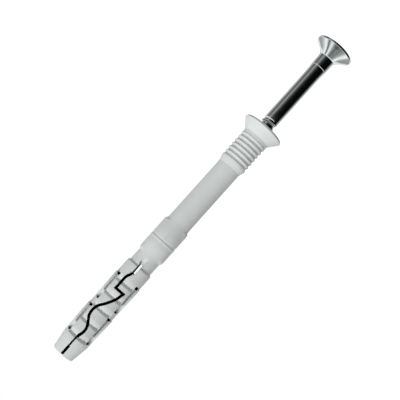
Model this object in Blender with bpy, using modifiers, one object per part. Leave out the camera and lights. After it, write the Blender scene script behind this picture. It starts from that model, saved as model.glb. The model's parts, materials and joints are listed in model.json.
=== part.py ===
"""Nylon hammer fixing for an 8 mm hole: a slit plug sleeve and the screw nail that is driven into it.

Both pieces are modelled about one axis frame. Its +Z runs from the plug's tip to the nail's head, its +X
points out of the front slit and its +Y is across. The frame is then turned upside down, because a round
fixing rolls when it lies, and stands on the flat top of the nail's head.
"""

import math

import bmesh
import bpy
from mathutils import Matrix, Vector

# Sleeve, in metres along the axis from the tip
SLEEVE_LENGTH = 0.0800
TIP_RADIUS = 0.00308
TIP_ROUNDING = 0.0003
NOSE_CONE_LENGTH = 0.0052
BODY_RADIUS = 0.00388
NOSE_SHOULDER = 0.0063
BARBED_LENGTH = 0.0236
NECK_RADIUS = 0.00341
NECK_LENGTH = 0.0040
BLOCKS_FALL = 0.0006

# Barbs: head-facing steps, each followed by a ramp and a land
BARB_COUNT = 5
BARB_PITCH = 0.00448
BARB_DEPTH = 0.00042
BARB_FALL = 0.0005
BARB_VALLEY = 0.0001
BARB_RAMP = 0.00105
BARB_LAND_INSET = 0.00004
BARB_OVERRUN = 0.0001

# Fins at the parting plane, beside the barbed blocks
BLOCK_HALF_WIDTH = 0.00295
FIN_THICKNESS = 0.0011
FIN_STAND = 0.00017
FIN_LENGTH = 0.00825
FIN_BRIDGE = 0.00258
FIN_BACK = 0.0002
NOTCH_LENGTH = 0.00056
NOTCH_INNER = 0.00280
NOTCH_OUTER = 0.00338

# Thick guide, shaft and ribs
GUIDE_RADIUS = 0.00388
GUIDE_LENGTH = 0.0111
GUIDE_CHAMFER = 0.0007
GUIDE_ROUNDING = 0.0010
SHAFT_RADIUS = 0.00343
RIB_COUNT = 7
RIB_PITCH = 0.0013
RIB_CREST = 0.00040
RIB_FLANK = 0.00020
RIB_DEPTH = 0.00028
RIB_RADIUS = 0.00397
RIB_LEAD = 0.00135
BAND_LENGTH = 0.00145
BAND_INSET = 0.00004

# Collar: a thin cone that the nail's head seats in
COLLAR_HEIGHT = 0.0031
COLLAR_LIP = 0.00035
COLLAR_RIM = 0.00055
COLLAR_ROUNDING = 0.00008

# Slit: the front one; the back one is the same, turned half round the axis. The wave's points are shares
# of its reach and of its swing, and the tail's are shares of the straight run.
SLIT_WIDTH = 0.00074
NOSE_SLIT_WIDTH = 0.00040
NOSE_SLIT_OFFSET = -0.00021
MOUTH_WIDTH = 0.00067
MOUTH_LENGTH = 0.0032
MOUTH_OFFSET = -0.00012
NOSE_WEB = 0.0008
SLIT_END = 0.0310
SLIT_END_OFFSET = -0.0002
SLIT_END_WIDTH = 0.00093
SLIT_END_LENGTH = 0.00335
SLIT_STEP = 0.02215
SLIT_WAVE_LOW = -0.00184
SLIT_WAVE_HIGH = 0.00138
SLIT_STRAIGHT_OFFSET = -0.00112
SLIT_WAVE_SHARES = (
    (0.03, 0.56),
    (0.13, 0.63),
    (0.22, 0.57),
    (0.31, 0.29),
    (0.39, 0.065),
    (0.49, 0.0),
    (0.59, 0.11),
    (0.70, 0.46),
    (0.83, 0.80),
    (0.92, 0.95),
    (1.0, 1.0),
)
SLIT_TAIL_SHARES = (0.40, 0.75)
RELIEF_WIDTH = 0.00115
RELIEF_LENGTH = 0.0017
RELIEF_DEPTH = 0.00065
SLIT_MEETING = 0.0001

# Screw nail; the hollow under its head is given as shares of its depth and of its overhang
NAIL_STAND_OUT = 0.0295
POINT_LENGTH = 0.0046
POINT_TIP_RADIUS = 0.0003
CREST_RADIUS = 0.0022
SHANK_RADIUS = 0.00214
PLAIN_SHANK = 0.0265
SWELL_START = 0.0095
SWELL_END = 0.0072
SWELL_RADIUS = 0.00225
GRIP_STEP = 0.0068
GRIP_RADIUS = 0.00231
HEAD_NECK_RADIUS = 0.00239
HEAD_RADIUS = 0.00562
HEAD_HEIGHT = 0.0036
HEAD_RIM = 0.00045
HEAD_EDGE = 0.0001
HEAD_HOLLOW_SHARES = ((0.19, 0.73), (0.40, 0.47), (0.62, 0.25))
RECESS_DEPTH = 0.0026
RECESS_REACH = 0.0025
RECESS_WING = 0.0009
RECESS_FOOT_REACH = 0.00105
RECESS_FOOT_WING = 0.0007

# Fits between the two pieces; the driven nail's point stays this far inside the tip
DRIVEN_POINT = 0.00295
RUNNING_GAP = 0.00015
SEAT_GAP = 0.00018
POINT_ROOM = 0.0008

# Facets round each turned piece; one flat faces the front
FACETS = 48
NAIL_FACETS = 40
CUT_OVER = 0.001

# Worked out from the sizes above
FIN_STARTS = (NOSE_SHOULDER, NOSE_SHOULDER + FIN_LENGTH + FIN_BRIDGE)
BLOCKS_END = NOSE_SHOULDER + BARBED_LENGTH
GUIDE_START = BLOCKS_END + NECK_LENGTH
SHAFT_START = GUIDE_START + GUIDE_LENGTH
COLLAR_START = SLEEVE_LENGTH - COLLAR_HEIGHT
BAND_START = COLLAR_START - BAND_LENGTH
RIBS_START = BAND_START - (RIB_COUNT - 1) * RIB_PITCH
CUP_MOUTH_RADIUS = HEAD_RADIUS + SEAT_GAP
COLLAR_RADIUS = CUP_MOUTH_RADIUS + COLLAR_LIP
BORE_RADIUS = CREST_RADIUS + RUNNING_GAP
UPPER_BORE_RADIUS = HEAD_NECK_RADIUS + RUNNING_GAP
HEAD_TOP = SLEEVE_LENGTH + NAIL_STAND_OUT
TRAVEL = NAIL_STAND_OUT - HEAD_RIM
NAIL_LENGTH = SLEEVE_LENGTH + HEAD_RIM - DRIVEN_POINT

NYLON_COLOUR = (0.58, 0.62, 0.60, 1.0)
ZINC_COLOUR = (0.76, 0.77, 0.78, 1.0)


def clear_scene():
    """Remove every object of the open scene."""
    for thing in list(bpy.data.objects):
        bpy.data.objects.remove(thing, do_unlink=True)


def new_collection(name):
    """Add a collection of this name to the scene."""
    made = bpy.data.collections.new(name)
    bpy.context.scene.collection.children.link(made)
    return made


def new_material(name, colour, roughness, metallic):
    """A plain finish of one colour."""
    made = bpy.data.materials.new(name)
    made.use_nodes = True
    shader = made.node_tree.nodes["Principled BSDF"]
    shader.inputs["Base Color"].default_value = colour
    shader.inputs["Roughness"].default_value = roughness
    shader.inputs["Metallic"].default_value = metallic
    return made


def add_object(name, mesh, collection, parent, turn=0.0):
    """Put a mesh on the axis frame, turned about the axis."""
    made = bpy.data.objects.new(name, mesh)
    collection.objects.link(made)
    made.parent = parent
    made.rotation_euler = (0.0, 0.0, turn)
    return made


def turned(name, outline, facets, collection, parent, closed=False):
    """Turn an outline of (along, radius) points about the axis, with a flat facing the front."""
    mesh = bpy.data.meshes.new(name)
    points = [(radius, 0.0, along) for along, radius in outline]
    edges = [(i, i + 1) for i in range(len(points) - 1)]
    if closed:
        edges.append((len(points) - 1, 0))
    mesh.from_pydata(points, edges, [])
    made = add_object(name, mesh, collection, parent, turn=math.pi / facets)
    screw = made.modifiers.new("turn", "SCREW")
    screw.steps = facets
    screw.render_steps = facets
    screw.use_merge_vertices = True
    screw.merge_threshold = 1e-6
    screw.use_smooth_shade = True
    return made


def box_mesh(name, boxes):
    """One mesh of boxes, each given by its low and its high corner."""
    mesh = bpy.data.meshes.new(name)
    bm = bmesh.new()
    for low, high in boxes:
        centre = [(a + b) / 2 for a, b in zip(low, high)]
        size = [b - a for a, b in zip(low, high)]
        bmesh.ops.create_cube(
            bm, size=1.0, matrix=Matrix.Translation(centre) @ Matrix.Diagonal((*size, 1.0))
        )
    bm.to_mesh(mesh)
    bm.free()
    return mesh


def as_cutter(thing):
    """Show a cutter as wire only."""
    thing.hide_render = True
    thing.display_type = "WIRE"
    return thing


def boolean(target, cutter, operation="DIFFERENCE"):
    """Cut one object by another, or keep what they share."""
    step = target.modifiers.new(cutter.name, "BOOLEAN")
    step.operation = operation
    step.solver = "EXACT"
    step.object = cutter


def finish_piece(thing, material, sharp_angle=math.radians(28)):
    """Make an object's modifiers final, shade it smooth between its real edges and give it its finish."""
    evaluated = thing.evaluated_get(bpy.context.evaluated_depsgraph_get())
    mesh = bpy.data.meshes.new_from_object(evaluated)
    thing.modifiers.clear()
    thing.data = mesh
    mesh.shade_smooth()
    mesh.set_sharp_from_angle(angle=sharp_angle)
    mesh.materials.clear()
    mesh.materials.append(material)


def smooth_route(points, steps=6):
    """A smooth curve through the points, with its slope at each set by the neighbours."""
    route = []
    last = len(points) - 1
    for i in range(last):
        before, here = points[max(i - 1, 0)], points[i]
        there, after = points[i + 1], points[min(i + 2, last)]
        for k in range(steps):
            t = k / steps
            weights = (
                (-t + 2 * t**2 - t**3) / 2,
                (2 - 5 * t**2 + 3 * t**3) / 2,
                (t + 4 * t**2 - 3 * t**3) / 2,
                (t**3 - t**2) / 2,
            )
            ends = (before, here, there, after)
            route.append(tuple(sum(w * p[n] for w, p in zip(weights, ends)) for n in (0, 1)))
    route.append(points[-1])
    return route


def eased_route(start, end, steps=8):
    """A rise from one point to another that leaves and arrives level."""
    route = []
    for k in range(steps + 1):
        t = k / steps
        along = start[0] + (end[0] - start[0]) * t
        route.append((along, start[1] + (end[1] - start[1]) * (1 - math.cos(math.pi * t)) / 2))
    return route


def slit_routes():
    """Each stretch of the slit: its route as (along, across) points, its width and where it ends inside."""
    mouth = [(-CUT_OVER, MOUTH_OFFSET), (MOUTH_LENGTH, MOUTH_OFFSET)]
    nose_end = NOSE_SHOULDER + BARB_VALLEY + BARB_RAMP / 2
    nose = [(MOUTH_LENGTH - MOUTH_WIDTH / 2, NOSE_SLIT_OFFSET), (nose_end, NOSE_SLIT_OFFSET)]
    reach = SLIT_STEP - NOSE_SHOULDER
    swing = SLIT_WAVE_HIGH - SLIT_WAVE_LOW
    wave = [
        (NOSE_SHOULDER + along * reach, SLIT_WAVE_LOW + across * swing)
        for along, across in SLIT_WAVE_SHARES
    ]
    corner = (SLIT_STEP, SLIT_STRAIGHT_OFFSET)
    tail_start, tail_end = (SLIT_STEP + share * (SLIT_END - SLIT_STEP) for share in SLIT_TAIL_SHARES)
    tail = eased_route((tail_start, SLIT_STRAIGHT_OFFSET), (tail_end, SLIT_END_OFFSET))
    long_wave = [*smooth_route(wave), corner, *tail, (SLIT_END - SLIT_MEETING, SLIT_END_OFFSET)]
    wide_end = [(SLIT_END - SLIT_END_LENGTH, SLIT_END_OFFSET), (SLIT_END, SLIT_END_OFFSET)]
    return {
        "mouth": (mouth, MOUTH_WIDTH, NOSE_WEB / 2),
        "nose": (nose, NOSE_SLIT_WIDTH, -SLIT_MEETING),
        "wave": (long_wave, SLIT_WIDTH, -SLIT_MEETING),
        "end": (wide_end, SLIT_END_WIDTH, -SLIT_MEETING),
    }


def slit_cutters(collection, parent):
    """A wall along each stretch, from inside out through the front, and again at the back."""
    made = []
    outside = COLLAR_RADIUS + CUT_OVER
    for label, (route, width, floor) in slit_routes().items():
        mesh = bpy.data.meshes.new(f"slit_{label}")
        points = [(height, across, along) for along, across in route for height in (floor, outside)]
        faces = [(2 * i, 2 * i + 1, 2 * i + 3, 2 * i + 2) for i in range(len(route) - 1)]
        mesh.from_pydata(points, [], faces)
        for side, turn in (("front", 0.0), ("back", math.pi)):
            cutter = add_object(f"slit_{label}_{side}", mesh, collection, parent, turn)
            wall = cutter.modifiers.new("width", "SOLIDIFY")
            wall.thickness = width
            wall.offset = 0.0
            wall.use_even_offset = True
            made.append(as_cutter(cutter))
    return made


def relief_cutters(collection, parent):
    """The shallow ramp where each slit runs out into the neck."""
    made = []
    length = RELIEF_LENGTH + SLIT_MEETING
    rise = RELIEF_DEPTH * length / RELIEF_LENGTH
    low = (0.0, -RELIEF_WIDTH / 2, -length)
    high = (2 * RELIEF_DEPTH + rise, RELIEF_WIDTH / 2, 0.0)
    mesh = box_mesh("slit_relief", [(low, high)])
    slope = math.atan2(RELIEF_DEPTH, RELIEF_LENGTH)
    mesh.transform(Matrix.Rotation(slope, 4, "Y"))
    mesh.transform(Matrix.Translation((NECK_RADIUS, SLIT_END_OFFSET, SLIT_END + RELIEF_LENGTH)))
    for side, turn in (("front", 0.0), ("back", math.pi)):
        made.append(as_cutter(add_object(f"slit_relief_{side}", mesh, collection, parent, turn)))
    return made


def mirrored(thing, axes):
    """Repeat an object on the other side of the axis."""
    mirror = thing.modifiers.new("other_sides", "MIRROR")
    mirror.use_axis = axes
    mirror.merge_threshold = 1e-6
    return thing


def pocket_cutter(collection, parent):
    """The pockets beside the barbed blocks, which leave the fins standing at the parting plane."""
    outside = BODY_RADIUS + FIN_STAND + CUT_OVER
    boxes = [
        ((FIN_THICKNESS / 2, BLOCK_HALF_WIDTH, start), (outside, outside, start + FIN_LENGTH))
        for start in FIN_STARTS
    ]
    pockets = add_object("pockets", box_mesh("pockets", boxes), collection, parent)
    return as_cutter(mirrored(pockets, (True, True, False)))


def notch_cutter(collection, parent):
    """The small through holes at both ends of each fin."""
    outside = BODY_RADIUS + CUT_OVER
    ends = [start + shift for start in FIN_STARTS for shift in (0.0, FIN_LENGTH)]
    boxes = [
        (
            (-outside, NOTCH_INNER, end - NOTCH_LENGTH / 2),
            (outside, NOTCH_OUTER, end + NOTCH_LENGTH / 2),
        )
        for end in ends
    ]
    notches = add_object("fin_notches", box_mesh("fin_notches", boxes), collection, parent)
    return as_cutter(mirrored(notches, (False, True, False)))


def barb_cutter(collection, parent):
    """A toothed ring round the barbed zone, kept to the width of the blocks."""
    land = BODY_RADIUS - BARB_LAND_INSET
    valley = land - BARB_DEPTH
    outside = BODY_RADIUS + FIN_STAND + CUT_OVER
    inner = []
    for i in range(BARB_COUNT):
        step = NOSE_SHOULDER + i * BARB_PITCH
        foot = step + BARB_FALL / 2
        inner.append((step - BARB_FALL / 2, land))
        inner.append((foot, valley))
        inner.append((foot + BARB_VALLEY, valley))
        inner.append((foot + BARB_VALLEY + BARB_RAMP, land))
    end = inner[-1][0] + BARB_RAMP * (BODY_RADIUS - land) / BARB_DEPTH
    outer = [(end, outside), (inner[0][0], outside)]
    ring = turned("barb_ring", inner + outer, FACETS, collection, parent, closed=True)
    reach = BLOCK_HALF_WIDTH + BARB_OVERRUN
    slab = box_mesh("block_width", [((-outside, -reach, 0.0), (outside, reach, BLOCKS_END))])
    keep = as_cutter(add_object("block_width", slab, collection, parent))
    boolean(ring, keep, "INTERSECT")
    return as_cutter(ring)


def bore_outline():
    """The bore from its blind end up to the collar's cup."""
    cup_depth = CUP_MOUTH_RADIUS - UPPER_BORE_RADIUS
    upper_start = HEAD_TOP - SWELL_START - TRAVEL
    taper = POINT_LENGTH - POINT_ROOM
    return [
        (DRIVEN_POINT - POINT_ROOM, 0.0),
        (DRIVEN_POINT - POINT_ROOM, POINT_TIP_RADIUS + RUNNING_GAP),
        (DRIVEN_POINT + taper, BORE_RADIUS),
        (upper_start - RUNNING_GAP, BORE_RADIUS),
        (upper_start, UPPER_BORE_RADIUS),
        (SLEEVE_LENGTH - cup_depth, UPPER_BORE_RADIUS),
        (SLEEVE_LENGTH, CUP_MOUTH_RADIUS),
    ]


def rib_outline():
    """The ribs, from the head down to the rise out of the shaft."""
    points = [(BAND_START + RIB_CREST / 2 + RIB_FLANK, RIB_RADIUS - BAND_INSET)]
    for i in reversed(range(RIB_COUNT)):
        crest = RIBS_START + i * RIB_PITCH
        points.append((crest + RIB_CREST / 2, RIB_RADIUS))
        points.append((crest - RIB_CREST / 2, RIB_RADIUS))
        if i:
            valley = RIB_RADIUS - RIB_DEPTH
            points.append((crest - RIB_CREST / 2 - RIB_FLANK, valley))
            points.append((crest - RIB_PITCH + RIB_CREST / 2 + RIB_FLANK, valley))
    points.append((RIBS_START - RIB_CREST / 2 - RIB_LEAD, SHAFT_RADIUS))
    return points


def fin_outline():
    """The fins' edges, which stand out a little more toward the head, from the head down."""
    points = []
    for start in reversed(FIN_STARTS):
        end = start + FIN_LENGTH
        points.append((end + FIN_BACK, BODY_RADIUS))
        points.append((end, BODY_RADIUS + FIN_STAND))
        points.append((start, BODY_RADIUS))
    return points


def sleeve_outline():
    """The sleeve's whole section: up the bore, over the collar and down the outside to the tip."""
    rim_top = SLEEVE_LENGTH - COLLAR_ROUNDING
    collar = [
        (SLEEVE_LENGTH, COLLAR_RADIUS - COLLAR_ROUNDING),
        (rim_top, COLLAR_RADIUS),
        (SLEEVE_LENGTH - COLLAR_RIM, COLLAR_RADIUS),
        (COLLAR_START, RIB_RADIUS),
    ]
    rounding = [math.radians(a) for a in (30, 60)]
    guide = [
        (SHAFT_START, SHAFT_RADIUS),
        *(
            (
                SHAFT_START - GUIDE_ROUNDING * (1 - math.cos(a)),
                SHAFT_RADIUS + (GUIDE_RADIUS - SHAFT_RADIUS) * math.sin(a),
            )
            for a in rounding
        ),
        (SHAFT_START - GUIDE_ROUNDING, GUIDE_RADIUS),
        (GUIDE_START + GUIDE_CHAMFER, GUIDE_RADIUS),
        (GUIDE_START, NECK_RADIUS),
    ]
    barbed = [
        (BLOCKS_END + BLOCKS_FALL / 2, NECK_RADIUS),
        (BLOCKS_END - BLOCKS_FALL / 2, BODY_RADIUS),
        *fin_outline(),
    ]
    nose = [
        (NOSE_CONE_LENGTH, BODY_RADIUS),
        (TIP_ROUNDING, TIP_RADIUS),
        (0.0, TIP_RADIUS - TIP_ROUNDING),
        (0.0, 0.0),
    ]
    return bore_outline() + collar + rib_outline() + guide + barbed + nose


def make_sleeve(pieces, cutters, axis_frame):
    """The nylon plug sleeve."""
    sleeve = turned("plug_sleeve", sleeve_outline(), FACETS, pieces, axis_frame)
    boolean(sleeve, notch_cutter(cutters, axis_frame))
    boolean(sleeve, barb_cutter(cutters, axis_frame))
    boolean(sleeve, pocket_cutter(cutters, axis_frame))
    for cutter in slit_cutters(cutters, axis_frame) + relief_cutters(cutters, axis_frame):
        boolean(sleeve, cutter)
    finish_piece(sleeve, new_material("grey_nylon", NYLON_COLOUR, 0.45, 0.0))
    return sleeve


def nail_outline():
    """The nail's section, from its head down to its point, as heights below the head's top."""
    cone_foot = HEAD_HEIGHT - HEAD_RIM
    cone_rise = HEAD_RADIUS - HEAD_NECK_RADIUS
    below = [
        (0.0, 0.0),
        (0.0, HEAD_RADIUS - HEAD_EDGE),
        (HEAD_EDGE, HEAD_RADIUS),
        (HEAD_RIM, HEAD_RADIUS),
        *(
            (HEAD_RIM + down * cone_foot, HEAD_NECK_RADIUS + out * cone_rise)
            for down, out in HEAD_HOLLOW_SHARES
        ),
        (HEAD_HEIGHT, HEAD_NECK_RADIUS),
        (GRIP_STEP, GRIP_RADIUS),
        (SWELL_END, SWELL_RADIUS),
        (SWELL_START, SHANK_RADIUS),
        (PLAIN_SHANK, SHANK_RADIUS),
        (PLAIN_SHANK + (CREST_RADIUS - SHANK_RADIUS), CREST_RADIUS),
        (NAIL_LENGTH - POINT_LENGTH, CREST_RADIUS),
        (NAIL_LENGTH, POINT_TIP_RADIUS),
        (NAIL_LENGTH, 0.0),
    ]
    return [(HEAD_TOP - down, radius) for down, radius in below]


def cross_ring(bm, height, reach, wing):
    """The twelve corners of an upright cross, all at one height."""
    corners = [(reach, -wing / 2), (reach, wing / 2), (wing / 2, wing / 2)]
    ring = []
    for quarter in range(4):
        turn = Matrix.Rotation(quarter * math.pi / 2, 2)
        for corner in corners:
            x, y = turn @ Vector(corner)
            ring.append(bm.verts.new((x, y, height)))
    return ring


def recess_cutter(collection, parent):
    """The cross recess for the driver bit, lofted from a small cross at its foot to a wide one on top."""
    mesh = bpy.data.meshes.new("cross_recess")
    bm = bmesh.new()
    over = 1 + CUT_OVER / RECESS_DEPTH
    reach = RECESS_FOOT_REACH + (RECESS_REACH - RECESS_FOOT_REACH) * over
    wing = RECESS_FOOT_WING + (RECESS_WING - RECESS_FOOT_WING) * over
    foot = cross_ring(bm, HEAD_TOP - RECESS_DEPTH, RECESS_FOOT_REACH, RECESS_FOOT_WING)
    mouth = cross_ring(bm, HEAD_TOP + CUT_OVER, reach, wing)
    for i in range(len(foot)):
        j = (i + 1) % len(foot)
        bm.faces.new((foot[i], foot[j], mouth[j], mouth[i]))
    bm.faces.new(reversed(foot))
    bm.faces.new(mouth)
    bm.to_mesh(mesh)
    bm.free()
    return as_cutter(add_object("cross_recess", mesh, collection, parent, turn=math.pi / 4))


def make_nail(pieces, cutters, axis_frame):
    """The zinc-plated screw nail, where it stands before it is driven."""
    nail = turned("nail_screw", nail_outline(), NAIL_FACETS, pieces, axis_frame)
    boolean(nail, recess_cutter(cutters, axis_frame))
    finish_piece(nail, new_material("bright_zinc", ZINC_COLOUR, 0.22, 1.0))
    return nail


def stand_on_head(axis_frame):
    """Turn the axis upside down and lift it by the fixing's height, with the front slit facing -Y."""
    turn = Matrix(((0, -1, 0), (-1, 0, 0), (0, 0, -1)))
    axis_frame.matrix_world = Matrix.Translation((0.0, 0.0, HEAD_TOP)) @ turn.to_4x4()


def main():
    """Build the fixing."""
    clear_scene()
    pieces = new_collection("nylon_hammer_fixing")
    cutters = new_collection("cutters")
    axis_frame = bpy.data.objects.new("fixing_axis", None)
    pieces.objects.link(axis_frame)
    stand_on_head(axis_frame)
    make_sleeve(pieces, cutters, axis_frame)
    make_nail(pieces, cutters, axis_frame)


main()
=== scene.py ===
"""Looks of a nylon hammer fixing: a slit, ribbed plug sleeve and the zinc-plated screw nail standing in it.

The fixing stands upside down on the nail's head. Both pieces are shaped along their own axis first, from
the plug's tip to the nail's head with the front slit along +X, and then placed where the frame has them.
Sizes are in metres.
"""

import json
import logging
import math
from collections.abc import Callable, Iterator, Sequence
from dataclasses import dataclass
from enum import Enum

import bmesh
import bpy
import numpy as np
from mathutils import Matrix, Vector


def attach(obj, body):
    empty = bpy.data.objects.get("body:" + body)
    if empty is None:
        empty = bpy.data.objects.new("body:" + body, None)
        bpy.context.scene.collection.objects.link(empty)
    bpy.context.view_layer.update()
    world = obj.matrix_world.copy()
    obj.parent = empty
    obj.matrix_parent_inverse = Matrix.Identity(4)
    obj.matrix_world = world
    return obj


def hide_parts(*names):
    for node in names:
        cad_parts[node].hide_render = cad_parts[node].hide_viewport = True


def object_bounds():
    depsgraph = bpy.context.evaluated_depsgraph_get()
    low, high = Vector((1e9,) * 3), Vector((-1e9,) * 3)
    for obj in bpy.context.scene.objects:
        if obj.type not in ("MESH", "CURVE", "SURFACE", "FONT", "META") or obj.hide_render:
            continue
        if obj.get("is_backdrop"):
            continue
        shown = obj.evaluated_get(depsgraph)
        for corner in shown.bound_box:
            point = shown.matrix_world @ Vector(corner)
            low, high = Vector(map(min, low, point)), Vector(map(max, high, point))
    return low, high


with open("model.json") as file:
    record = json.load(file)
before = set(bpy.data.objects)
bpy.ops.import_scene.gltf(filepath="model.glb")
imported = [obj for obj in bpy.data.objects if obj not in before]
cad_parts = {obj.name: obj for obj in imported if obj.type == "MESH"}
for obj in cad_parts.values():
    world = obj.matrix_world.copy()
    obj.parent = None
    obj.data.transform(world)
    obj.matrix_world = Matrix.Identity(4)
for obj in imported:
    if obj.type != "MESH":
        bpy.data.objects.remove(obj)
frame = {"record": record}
CAD_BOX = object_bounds()

log = logging.getLogger("hammer_fixing")

MM = 0.001
WELD = 0.002 * MM
OVERCUT = 0.02 * MM
FILLET_STEPS = 4
FILLET_SHARE = 0.45
SHARP_ANGLE = math.radians(38)
NYLON_IOR = 1.53
Pair = tuple[float, float]
Triple = tuple[float, float, float]
Point = Pair
Corner = Triple
Tree = bpy.types.NodeTree
Socket = bpy.types.NodeSocket


class Side(Enum):
    """The side of the plug that a cut is made on, as a turn about the axis."""

    FRONT = 0.0
    BACK = math.pi

    def turn(self) -> Matrix:
        """The turn from the front to this side."""
        return Matrix.Rotation(self.value, 4, "Z")


def linear(code: str) -> tuple[float, float, float, float]:
    """Turn an sRGB hex colour into the linear values that a shader takes.

    Args:
        code: Six hex digits.

    Returns:
        Linear red, green and blue, with an alpha of 1.
    """
    shares = [int(code[i : i + 2], 16) / 255 for i in (0, 2, 4)]
    red, green, blue = (s / 12.92 if s <= 0.04045 else ((s + 0.055) / 1.055) ** 2.4 for s in shares)
    return red, green, blue, 1.0


def grey(level: float) -> tuple[float, float, float, float]:
    """The grey of a linear level, as a shader takes it."""
    return level, level, level, 1.0


def feed(tree: Tree, node: bpy.types.Node, inputs: dict[str | int, object]) -> None:
    """Give a node's inputs what they need.

    Args:
        tree: The node tree that it is in.
        node: The node.
        inputs: What each input gets, by name or number: a socket to link from, or a value.
    """
    for key, value in inputs.items():
        if isinstance(value, Socket):
            tree.links.new(value, node.inputs[key])
        else:
            node.inputs[key].default_value = value


def add_node(
    tree: Tree, kind: str, inputs: dict[str | int, object] | None = None, **settings: object
) -> bpy.types.NodeOutputs:
    """Add a node with its settings and its links.

    Args:
        tree: The node tree that it goes in.
        kind: The node's type.
        inputs: What each input gets, by name or number: a socket to link from, or a value.
        **settings: The node's own properties.

    Returns:
        The new node's outputs.
    """
    node = tree.nodes.new(kind)
    for name, value in settings.items():
        setattr(node, name, value)
    feed(tree, node, inputs or {})
    return node.outputs


def calc(tree: Tree, operation: str, *values: object) -> Socket:
    """Add a maths node, which works out an operation on sockets or values, and give its result."""
    return add_node(tree, "ShaderNodeMath", dict(enumerate(values)), operation=operation)[0]


def length_of(tree: Tree, vector: Socket) -> Socket:
    """Add a node that works out a vector's length."""
    return add_node(tree, "ShaderNodeVectorMath", {0: vector}, operation="LENGTH")["Value"]


def mapped(
    tree: Tree,
    value: Socket,
    given: Sequence[object],
    wanted: Sequence[object] = (0.0, 1.0),
    **settings: object,
) -> Socket:
    """Add a node that turns one range of values into another and holds at its ends.

    Args:
        tree: The node tree that it goes in.
        value: What is turned.
        given: The ends of the range that it has.
        wanted: What they become.
        **settings: The node's own properties.

    Returns:
        The result.
    """
    ends = dict(zip(("From Min", "From Max", "To Min", "To Max"), (*given, *wanted)))
    return add_node(tree, "ShaderNodeMapRange", {"Value": value, **ends}, **settings)[0]


def mixed(tree: Tree, share: Socket, first: object, second: object) -> Socket:
    """Add a node that goes from one colour to another as the share rises from 0 to 1."""
    return add_node(tree, "ShaderNodeMix", {0: share, 6: first, 7: second}, data_type="RGBA")[2]


def noise(tree: Tree, place: Socket, size: float, detail: float, roughness: float = 0.5) -> Socket:
    """Add a noise texture.

    Args:
        tree: The node tree that it goes in.
        place: Where on the piece it is.
        size: Width of its blotches.
        detail: How many finer layers it has.
        roughness: How much the finer layers count.

    Returns:
        Its level, from 0 to 1.
    """
    values = {"Vector": place, "Scale": 1 / size, "Detail": detail, "Roughness": roughness}
    return add_node(tree, "ShaderNodeTexNoise", values)["Fac"]


def grey_strip(tree: Tree, share: Socket, stops: Sequence[Point]) -> Socket:
    """Add a strip of greys over a half turn.

    Args:
        tree: The node tree that it goes in.
        share: How far along the strip, from 0 to 1.
        stops: Bearing in degrees, from -90 to 90, and grey level of each stop, in order.

    Returns:
        The grey there.
    """
    strip = add_node(tree, "ShaderNodeValToRGB", {0: share})[0]
    elements = strip.node.color_ramp.elements
    while len(elements) < len(stops):
        elements.new(1.0)
    for element, (degrees, level) in zip(elements, stops):
        element.position = (degrees + 90) / 180
        element.color = grey(level)
    return strip


def by_ray(tree: Tree, ray: str, others: Socket, own: Socket) -> Socket:
    """Add a node that shows one shader to a kind of ray and another to all other rays.

    Args:
        tree: The node tree that it goes in.
        ray: The kind of ray, as the light path's output is called.
        others: What all other rays meet.
        own: What this kind meets.

    Returns:
        The shader.
    """
    path = add_node(tree, "ShaderNodeLightPath")
    return add_node(tree, "ShaderNodeMixShader", {0: path[ray], 1: others, 2: own})[0]


def new_finish(name: str) -> tuple[bpy.types.Material, Tree, Socket]:
    """Start a finish.

    Args:
        name: The material's name.

    Returns:
        The material, its tree, and the place on the piece.
    """
    made = bpy.data.materials.new(name)
    made.use_nodes = True
    return made, made.node_tree, add_node(made.node_tree, "ShaderNodeTexCoord")["Object"]


@dataclass(frozen=True)
class AxisFrame:
    """The fixing's own axes in the frame.

    Attributes:
        tip: The middle of the plug's tip.
        along: From the tip to the nail's head.
        front: Out of the front slit.
    """

    tip: Vector
    along: Vector
    front: Vector

    @classmethod
    def from_record(cls, record: dict) -> "AxisFrame":
        """Work the axes out of the record's joint and mounts."""
        places = {mount["name"]: Vector(mount["pos_m"]) for mount in record["mounts"]}
        along = -Vector(record["behaviour"]["joints"][0]["axis"]).normalized()
        middle = places["wall_hole"]
        tip = middle + along * (places["plug_tip_face"] - middle).dot(along)
        outward = places["collar_face"] - middle
        front = (outward - along * outward.dot(along)).normalized()
        return cls(tip=tip, along=along, front=front)

    def matrix(self) -> Matrix:
        """The turn and move from the fixing's own axes to the frame."""
        across = self.along.cross(self.front)
        turn = Matrix((self.front, across, self.along)).transposed()
        return Matrix.Translation(self.tip) @ turn.to_4x4()


def filleted(corners: Sequence[Corner]) -> list[Point]:
    """Round the corners of an outline.

    Args:
        corners: (along, radius, fillet) of each corner.

    Returns:
        The outline's points.
    """
    points: list[Point] = []
    last = len(corners) - 1
    for i, (along, radius, fillet) in enumerate(corners):
        here = Vector((along, radius))
        if fillet == 0.0 or i in (0, last):
            points.append((along, radius))
            continue
        before = Vector(corners[i - 1][:2]) - here
        after = Vector(corners[i + 1][:2]) - here
        start = here + before.normalized() * min(fillet, FILLET_SHARE * before.length)
        end = here + after.normalized() * min(fillet, FILLET_SHARE * after.length)
        for k in range(FILLET_STEPS + 1):
            t = k / FILLET_STEPS
            place = start * (1 - t) ** 2 + here * 2 * t * (1 - t) + end * t**2
            points.append((place.x, place.y))
    return points


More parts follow.
